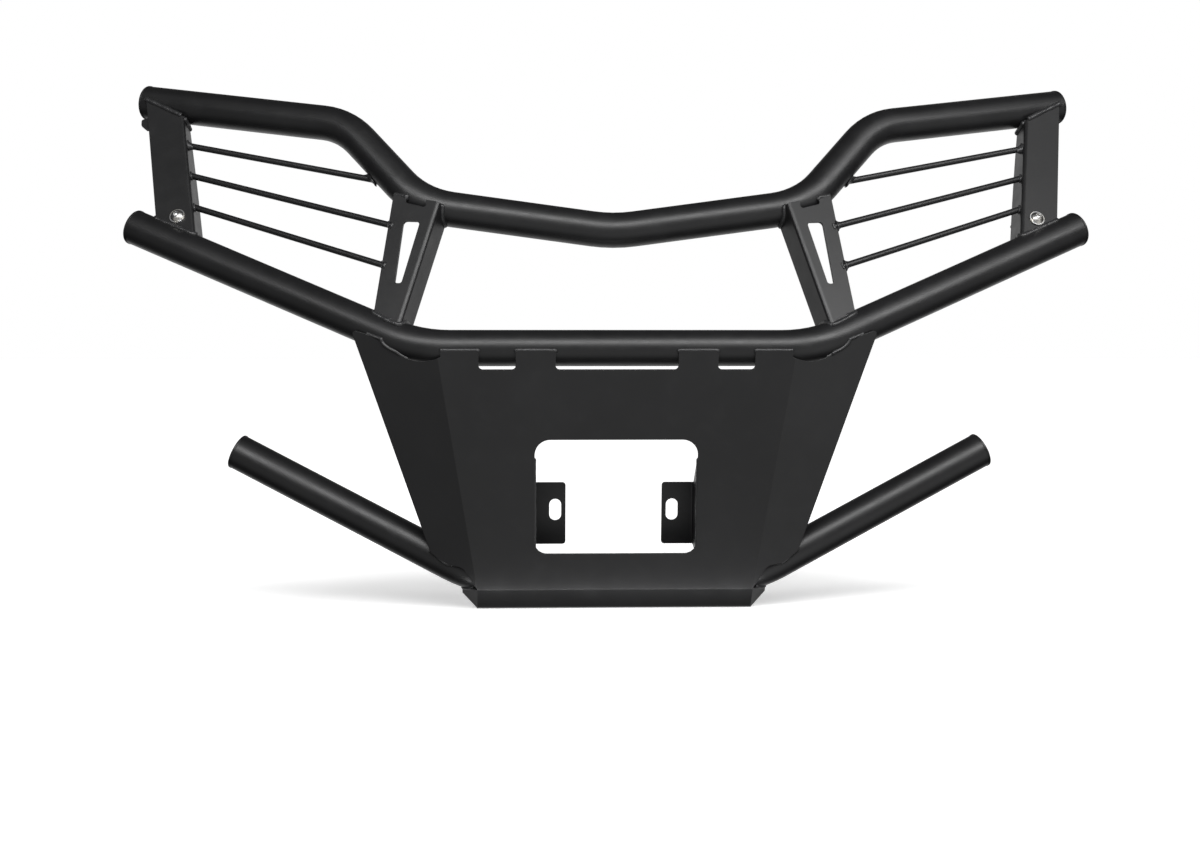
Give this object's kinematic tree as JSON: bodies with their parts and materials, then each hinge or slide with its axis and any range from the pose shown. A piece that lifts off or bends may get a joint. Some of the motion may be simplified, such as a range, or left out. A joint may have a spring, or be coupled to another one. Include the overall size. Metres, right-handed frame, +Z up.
{
  "type": "front grille guard",
  "caption": "Front grille guard for a utility vehicle: bent black tubes, folded skid plate with a window, uprights, slotted wing plates, thin rods and adjustable side brackets",
  "frame": {"origin": "centre of the flat underside of the skid plate, midway between its two ends and between its front and rear edges", "axes": "+X across the vehicle, towards the guard's right-hand end seen from in front; +Y to the rear, towards the vehicle; +Z up"},
  "size_m": [1.2476, 0.3167, 0.6738],
  "materials": {
    "powder_coat": "satin black powder coat with a fine texture",
    "zinc_plate": "bright zinc plate"
  },
  "bodies": {
    "guard": {"hoop_cap_left": "powder_coat", "hoop_cap_right": "powder_coat", "hoop_tube": "powder_coat", "lower_cap_left": "powder_coat", "lower_cap_right": "powder_coat", "lower_tube": "powder_coat", "main_cap_left": "powder_coat", "main_cap_right": "powder_coat", "main_tube": "powder_coat", "rear_tab_left": "powder_coat", "rod_lower_left": "powder_coat", "rod_lower_right": "powder_coat", "rod_middle_left": "powder_coat", "rod_middle_right": "powder_coat", "rod_upper_left": "powder_coat", "rod_upper_right": "powder_coat", "skid_plate": "powder_coat", "upright_left": "powder_coat", "upright_right": "powder_coat", "window_bracket_left": "powder_coat", "window_bracket_right": "powder_coat", "wing_plate_left": "powder_coat", "wing_plate_right": "powder_coat"},
    "right_bolt": {"wing_bolt_right": "zinc_plate", "wing_washer_right": "zinc_plate"},
    "right_bracket": {"bracket_arm_right": "powder_coat", "bracket_saddle_right": "powder_coat", "bracket_screws_right": "zinc_plate", "bracket_washers_right": "zinc_plate"},
    "left_bolt": {"wing_bolt_left": "zinc_plate", "wing_washer_left": "zinc_plate"},
    "left_bracket": {"bracket_arm_left": "powder_coat", "bracket_saddle_left": "powder_coat", "bracket_screws_left": "zinc_plate", "bracket_washers_left": "zinc_plate"}
  },
  "joints": [
    {"name": "right_bolt_slide", "type": "slide", "parent": "guard", "child": "right_bolt", "axis": [0.8562, 0.3723, 0.3583], "range_m": [-0.0045, 0.0045]},
    {"name": "right_bracket_slide", "type": "slide", "parent": "right_bolt", "child": "right_bracket", "axis": [0.1523, 0.5166, 0.8425], "range_m": [0, 0.0035]},
    {"name": "left_bolt_slide", "type": "slide", "parent": "guard", "child": "left_bolt", "axis": [-0.8562, 0.3723, 0.3583], "range_m": [-0.0045, 0.0045]},
    {"name": "left_bracket_slide", "type": "slide", "parent": "left_bolt", "child": "left_bracket", "axis": [-0.1523, 0.5166, 0.8425], "range_m": [0, 0.0035]}
  ]
}
